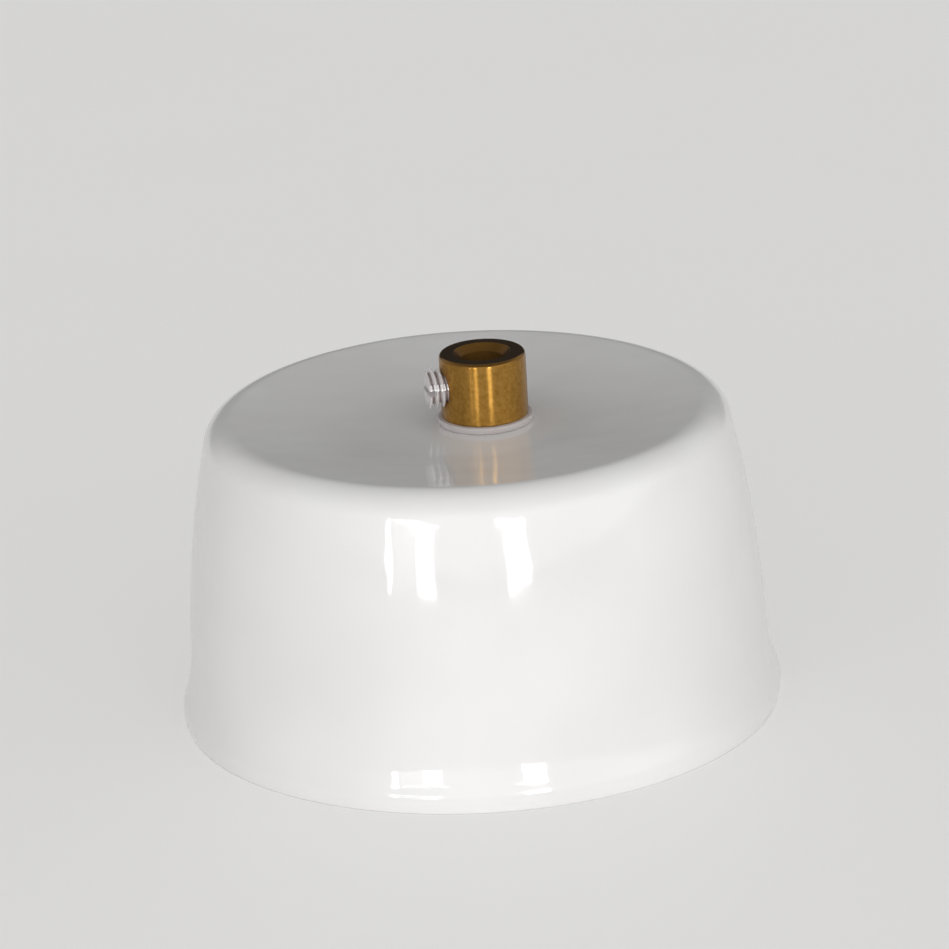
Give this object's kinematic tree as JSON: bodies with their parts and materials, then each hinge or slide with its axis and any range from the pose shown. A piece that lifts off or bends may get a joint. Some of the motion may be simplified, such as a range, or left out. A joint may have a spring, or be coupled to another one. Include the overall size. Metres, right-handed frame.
{
  "type": "electrical ceiling rose",
  "caption": "Dished white ceramic ceiling rose with a brass cord grip, a clear clamping screw, and a strap, threaded tube and terminal block inside.",
  "frame": {"origin": "centre of the cup's rim, in the plane that lies against the ceiling or the table", "axes": "+Z from the rim towards the cord grip; the grip's clamping screw points along -X and the terminal block is on the +Y side"},
  "size_m": [0.105, 0.105, 0.0636],
  "materials": {
    "white_glaze": "glossy white glaze",
    "aged_brass": "turned brass with light tarnish",
    "bright_brass": "plain turned brass",
    "clear_nylon": "translucent moulded nylon",
    "clear_plastic": "clear soft plastic",
    "red_fibre": "vulcanised fibre",
    "zinc_steel": "bright zinc plate",
    "natural_nylon": "satin moulded nylon"
  },
  "bodies": {
    "rose": {"ceramic_cover": "white_glaze", "clear_washer": "clear_plastic", "cord_grip": "aged_brass", "threaded_tube": "bright_brass", "fibre_washer": "red_fibre", "cover_lock_washer": "zinc_steel", "cover_nut": "zinc_steel", "strap_bracket": "zinc_steel", "strap_lock_washer": "zinc_steel", "strap_upper_nut": "zinc_steel", "strap_lower_nut": "zinc_steel", "earth_cup_washer": "bright_brass", "earth_screw": "bright_brass", "earth_nut": "bright_brass", "terminal_block": "natural_nylon", "terminal_barrel_1": "bright_brass", "terminal_barrel_2": "bright_brass", "terminal_barrel_3": "bright_brass", "terminal_screw_1": "zinc_steel", "terminal_screw_2": "zinc_steel", "terminal_screw_3": "zinc_steel", "terminal_screw_4": "zinc_steel", "terminal_screw_5": "zinc_steel", "terminal_screw_6": "zinc_steel", "block_screw_1": "zinc_steel", "block_screw_2": "zinc_steel"},
    "clamp_screw": {"grip_screw": "clear_nylon"}
  },
  "joints": [
    {"name": "grip_screw_travel", "type": "slide", "parent": "rose", "child": "clamp_screw", "axis": [1, 0, 0], "range_m": [-0.0012, 0.0024]}
  ]
}
